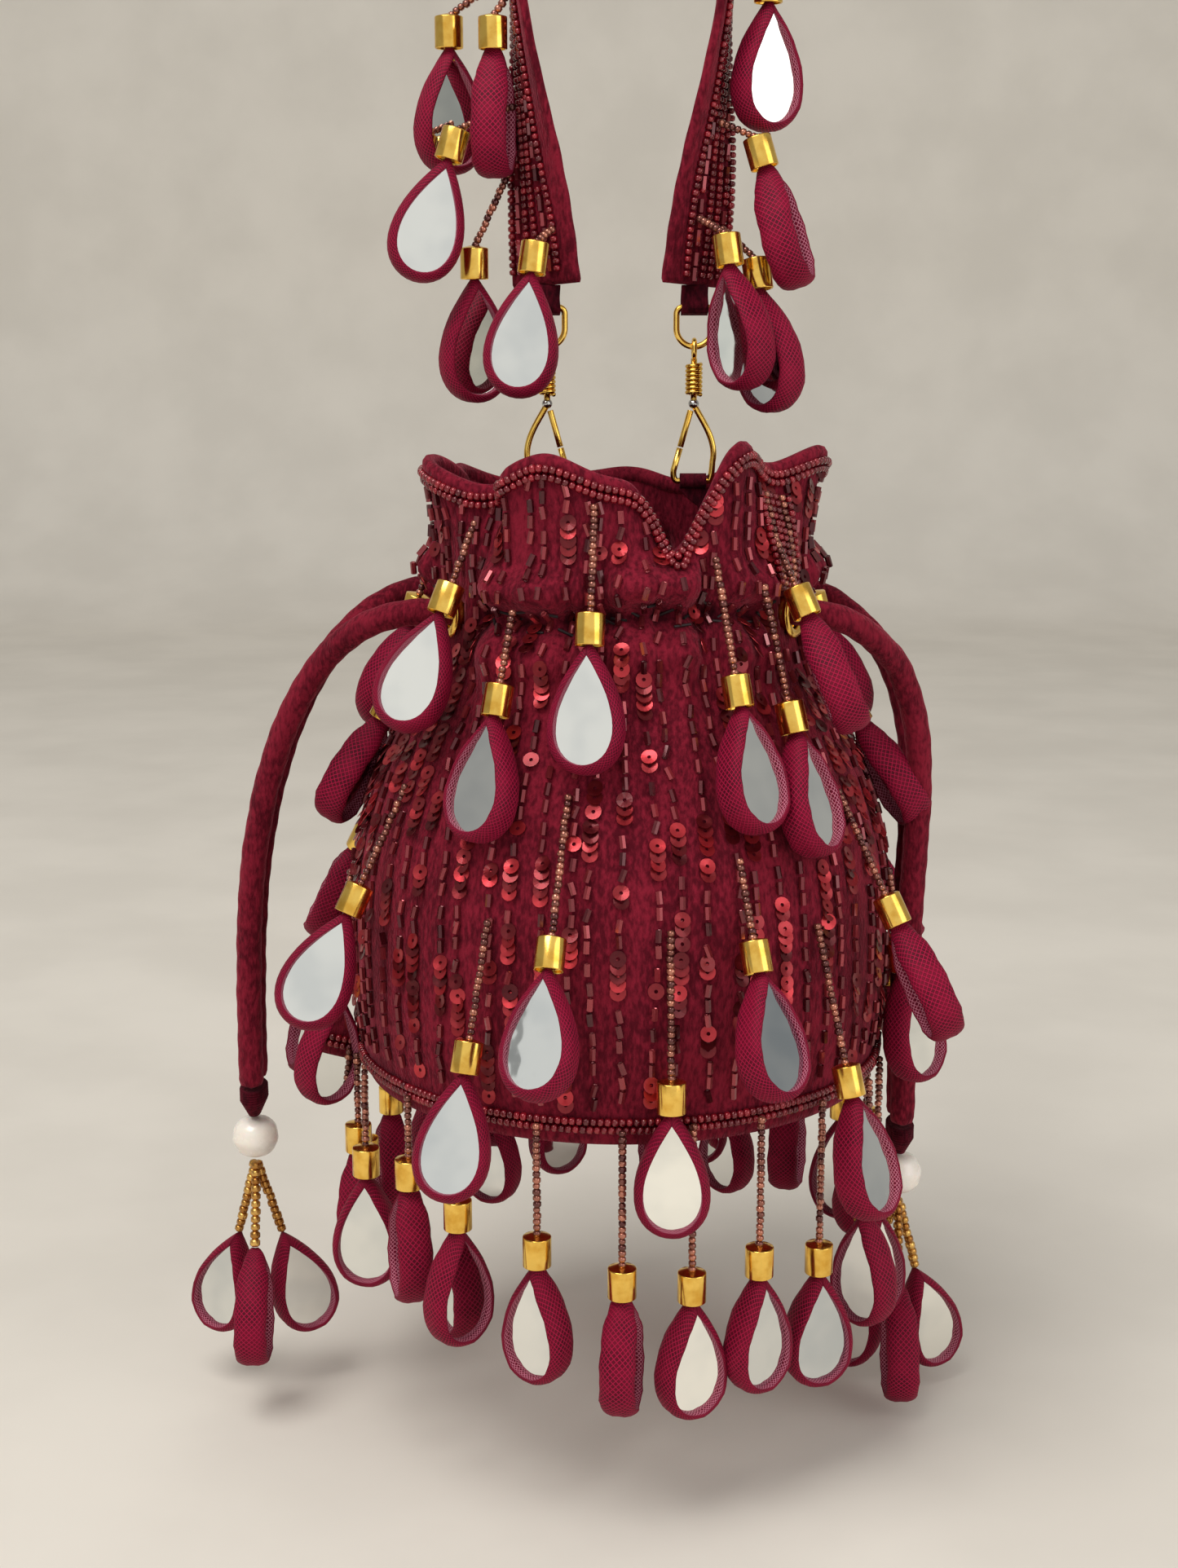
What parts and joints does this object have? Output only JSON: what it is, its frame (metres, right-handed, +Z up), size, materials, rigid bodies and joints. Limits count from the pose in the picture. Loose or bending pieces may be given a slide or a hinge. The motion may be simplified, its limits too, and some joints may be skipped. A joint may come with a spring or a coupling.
{
  "type": "potli bag",
  "caption": "Drawstring velvet pouch hung from a clip-on strap, with a ruffled beaded mouth, corded tassels and mirror drops that swing on bead strands.",
  "frame": {"origin": "underside of the strap at the middle of its top, where it hangs", "axes": "+Z up, front of the bag towards -Y, +X to the right seen from the front"},
  "size_m": [0.2461, 0.2243, 0.4486],
  "materials": {
    "velvet": "cut-pile velvet",
    "dark_velvet": "folded velvet",
    "brass": "polished",
    "glass_bead": "cut glass",
    "pearl": "pearl lustre",
    "net_drop": "net-wrapped rim round a mirror"
  },
  "bodies": {
    "strap": {"strap_band": "velvet", "strap_tab_left": "dark_velvet", "strap_tab_right": "dark_velvet"},
    "rings": {"ring_left": "brass", "ring_right": "brass"},
    "hooks": {"hook_left": "brass", "hook_right": "brass", "hook_coil_left": "brass", "hook_coil_right": "brass"},
    "gate_left": {"hook_gate_left": "brass"},
    "gate_right": {"hook_gate_right": "brass"},
    "bag": {"hook_loop_left": "dark_velvet", "hook_loop_right": "dark_velvet", "pouch": "velvet", "base_panel": "velvet", "eyelet_right_front": "brass", "eyelet_right_back": "brass", "eyelet_left_back": "brass", "eyelet_left_front": "brass", "mouth_bead_trim": "glass_bead", "base_bead_trim": "glass_bead", "drawcord_right_run": "velvet", "drawcord_right_front": "velvet", "drawcord_right_back": "velvet", "cord_wrap_right": "dark_velvet", "pearl_right": "pearl", "tassel_right": "net_drop", "drawcord_left_run": "velvet", "drawcord_left_front": "velvet", "drawcord_left_back": "velvet", "cord_wrap_left": "dark_velvet", "pearl_left": "pearl", "tassel_left": "net_drop"},
    "drop_top_1": {"drop_top_1": "net_drop"},
    "drop_top_2": {"drop_top_2": "net_drop"},
    "drop_top_3": {"drop_top_3": "net_drop"},
    "drop_top_4": {"drop_top_4": "net_drop"},
    "drop_top_5": {"drop_top_5": "net_drop"},
    "drop_top_6": {"drop_top_6": "net_drop"},
    "drop_top_7": {"drop_top_7": "net_drop"},
    "drop_top_8": {"drop_top_8": "net_drop"},
    "drop_top_9": {"drop_top_9": "net_drop"},
    "drop_middle_1": {"drop_middle_1": "net_drop"},
    "drop_middle_2": {"drop_middle_2": "net_drop"},
    "drop_middle_3": {"drop_middle_3": "net_drop"},
    "drop_middle_4": {"drop_middle_4": "net_drop"},
    "drop_middle_5": {"drop_middle_5": "net_drop"},
    "drop_middle_6": {"drop_middle_6": "net_drop"},
    "drop_middle_7": {"drop_middle_7": "net_drop"},
    "drop_middle_8": {"drop_middle_8": "net_drop"},
    "drop_middle_9": {"drop_middle_9": "net_drop"},
    "drop_base_1": {"drop_base_1": "net_drop"},
    "drop_base_2": {"drop_base_2": "net_drop"},
    "drop_base_3": {"drop_base_3": "net_drop"},
    "drop_base_4": {"drop_base_4": "net_drop"},
    "drop_base_5": {"drop_base_5": "net_drop"},
    "drop_base_6": {"drop_base_6": "net_drop"},
    "drop_base_7": {"drop_base_7": "net_drop"},
    "drop_base_8": {"drop_base_8": "net_drop"},
    "drop_base_9": {"drop_base_9": "net_drop"}
  },
  "joints": [
    {"name": "ring_swing", "type": "hinge", "parent": "strap", "child": "rings", "pos_m": [0, 0, -0.1169], "axis": [1, 0, 0], "range_deg": [-30, 30]},
    {"name": "hook_swing", "type": "hinge", "parent": "rings", "child": "hooks", "pos_m": [0, 0, -0.1279], "axis": [1, 0, 0], "range_deg": [-30, 30]},
    {"name": "bag_swing", "type": "hinge", "parent": "hooks", "child": "bag", "pos_m": [0, 0, -0.1659], "axis": [1, 0, 0], "range_deg": [-25, 25]},
    {"name": "gate_left_open", "type": "hinge", "parent": "hooks", "child": "gate_left", "pos_m": [-0.01985, 0, -0.14691], "axis": [0, 1, 0], "range_deg": [0, 22], "stiffness_Nm_per_rad": 0.004},
    {"name": "gate_right_open", "type": "hinge", "parent": "hooks", "child": "gate_right", "pos_m": [0.01985, 0, -0.14691], "axis": [0, -1, 0], "range_deg": [0, 22], "stiffness_Nm_per_rad": 0.004},
    {"name": "drop_top_1_swing", "type": "hinge", "parent": "bag", "child": "drop_top_1", "pos_m": [-0.03981, -0.0334, -0.17341], "axis": [-0.6428, 0.766, 0], "range_deg": [0, 40]},
    {"name": "drop_top_2_swing", "type": "hinge", "parent": "bag", "child": "drop_top_2", "pos_m": [-0.00749, -0.05331, -0.1674], "axis": [-0.9903, 0.1392, 0], "range_deg": [0, 40]},
    {"name": "drop_top_3_swing", "type": "hinge", "parent": "bag", "child": "drop_top_3", "pos_m": [0.02488, -0.04883, -0.18141], "axis": [-0.891, -0.454, 0], "range_deg": [0, 40]},
    {"name": "drop_top_4_swing", "type": "hinge", "parent": "bag", "child": "drop_top_4", "pos_m": [0.0415, -0.03242, -0.17741], "axis": [-0.6157, -0.788, 0], "range_deg": [0, 40]},
    {"name": "drop_top_5_swing", "type": "hinge", "parent": "bag", "child": "drop_top_5", "pos_m": [0.04331, 0.03384, -0.18141], "axis": [0.6157, -0.788, 0], "range_deg": [0, 40]},
    {"name": "drop_top_6_swing", "type": "hinge", "parent": "bag", "child": "drop_top_6", "pos_m": [0.0215, 0.04828, -0.17941], "axis": [0.9135, -0.4067, 0], "range_deg": [0, 40]},
    {"name": "drop_top_7_swing", "type": "hinge", "parent": "bag", "child": "drop_top_7", "pos_m": [-0.00383, 0.05476, -0.18341], "axis": [0.9976, 0.0698, 0], "range_deg": [0, 40]},
    {"name": "drop_top_8_swing", "type": "hinge", "parent": "bag", "child": "drop_top_8", "pos_m": [-0.0264, 0.04573, -0.17941], "axis": [0.866, 0.5, 0], "range_deg": [0, 40]},
    {"name": "drop_top_9_swing", "type": "hinge", "parent": "bag", "child": "drop_top_9", "pos_m": [-0.04453, 0.03236, -0.18141], "axis": [0.5878, 0.809, 0], "range_deg": [0, 40]},
    {"name": "drop_middle_1_swing", "type": "hinge", "parent": "bag", "child": "drop_middle_1", "pos_m": [-0.05949, -0.03864, -0.24641], "axis": [-0.5446, 0.8387, 0], "range_deg": [0, 40]},
    {"name": "drop_middle_2_swing", "type": "hinge", "parent": "bag", "child": "drop_middle_2", "pos_m": [-0.01447, -0.06808, -0.24341], "axis": [-0.9781, 0.2079, 0], "range_deg": [0, 40]},
    {"name": "drop_middle_3_swing", "type": "hinge", "parent": "bag", "child": "drop_middle_3", "pos_m": [0.03083, -0.06924, -0.2594], "axis": [-0.9135, -0.4067, 0], "range_deg": [0, 40]},
    {"name": "drop_middle_4_swing", "type": "hinge", "parent": "bag", "child": "drop_middle_4", "pos_m": [0.05985, -0.03887, -0.24741], "axis": [-0.5446, -0.8387, 0], "range_deg": [0, 40]},
    {"name": "drop_middle_5_swing", "type": "hinge", "parent": "bag", "child": "drop_middle_5", "pos_m": [0.06375, 0.0339, -0.2494], "axis": [0.4695, -0.8829, 0], "range_deg": [0, 40]},
    {"name": "drop_middle_6_swing", "type": "hinge", "parent": "bag", "child": "drop_middle_6", "pos_m": [0.04585, 0.05869, -0.2554], "axis": [0.788, -0.6157, 0], "range_deg": [0, 40]},
    {"name": "drop_middle_7_swing", "type": "hinge", "parent": "bag", "child": "drop_middle_7", "pos_m": [0.01533, 0.07215, -0.2534], "axis": [0.9781, -0.2079, 0], "range_deg": [0, 40]},
    {"name": "drop_middle_8_swing", "type": "hinge", "parent": "bag", "child": "drop_middle_8", "pos_m": [-0.04017, 0.06186, -0.2534], "axis": [0.8387, 0.5446, 0], "range_deg": [0, 40]},
    {"name": "drop_middle_9_swing", "type": "hinge", "parent": "bag", "child": "drop_middle_9", "pos_m": [-0.06414, 0.03129, -0.24741], "axis": [0.4384, 0.8988, 0], "range_deg": [0, 40]},
    {"name": "drop_base_1_swing", "type": "hinge", "parent": "bag", "child": "drop_base_1", "pos_m": [-0.07419, -0.03303, -0.33291], "axis": [-0.4067, 0.9135, 0], "range_deg": [-8, 40]},
    {"name": "drop_base_2_swing", "type": "hinge", "parent": "bag", "child": "drop_base_2", "pos_m": [-0.04541, -0.06733, -0.33291], "axis": [-0.829, 0.5592, 0], "range_deg": [-8, 40]},
    {"name": "drop_base_3_swing", "type": "hinge", "parent": "bag", "child": "drop_base_3", "pos_m": [0, -0.08121, -0.33291], "axis": [-1, 0, 0], "range_deg": [-8, 40]},
    {"name": "drop_base_4_swing", "type": "hinge", "parent": "bag", "child": "drop_base_4", "pos_m": [0.03813, -0.07171, -0.33291], "axis": [-0.8829, -0.4695, 0], "range_deg": [-8, 40]},
    {"name": "drop_base_5_swing", "type": "hinge", "parent": "bag", "child": "drop_base_5", "pos_m": [0.07171, -0.03813, -0.33291], "axis": [-0.4695, -0.8829, 0], "range_deg": [-8, 40]},
    {"name": "drop_base_6_swing", "type": "hinge", "parent": "bag", "child": "drop_base_6", "pos_m": [0.07299, 0.0356, -0.33291], "axis": [0.4384, -0.8988, 0], "range_deg": [-8, 40]},
    {"name": "drop_base_7_swing", "type": "hinge", "parent": "bag", "child": "drop_base_7", "pos_m": [0.03813, 0.07171, -0.33291], "axis": [0.8829, -0.4695, 0], "range_deg": [-8, 40]},
    {"name": "drop_base_8_swing", "type": "hinge", "parent": "bag", "child": "drop_base_8", "pos_m": [-0.01965, 0.0788, -0.33291], "axis": [0.9703, 0.2419, 0], "range_deg": [-8, 40]},
    {"name": "drop_base_9_swing", "type": "hinge", "parent": "bag", "child": "drop_base_9", "pos_m": [-0.07299, 0.0356, -0.33291], "axis": [0.4384, 0.8988, 0], "range_deg": [-8, 40]}
  ]
}
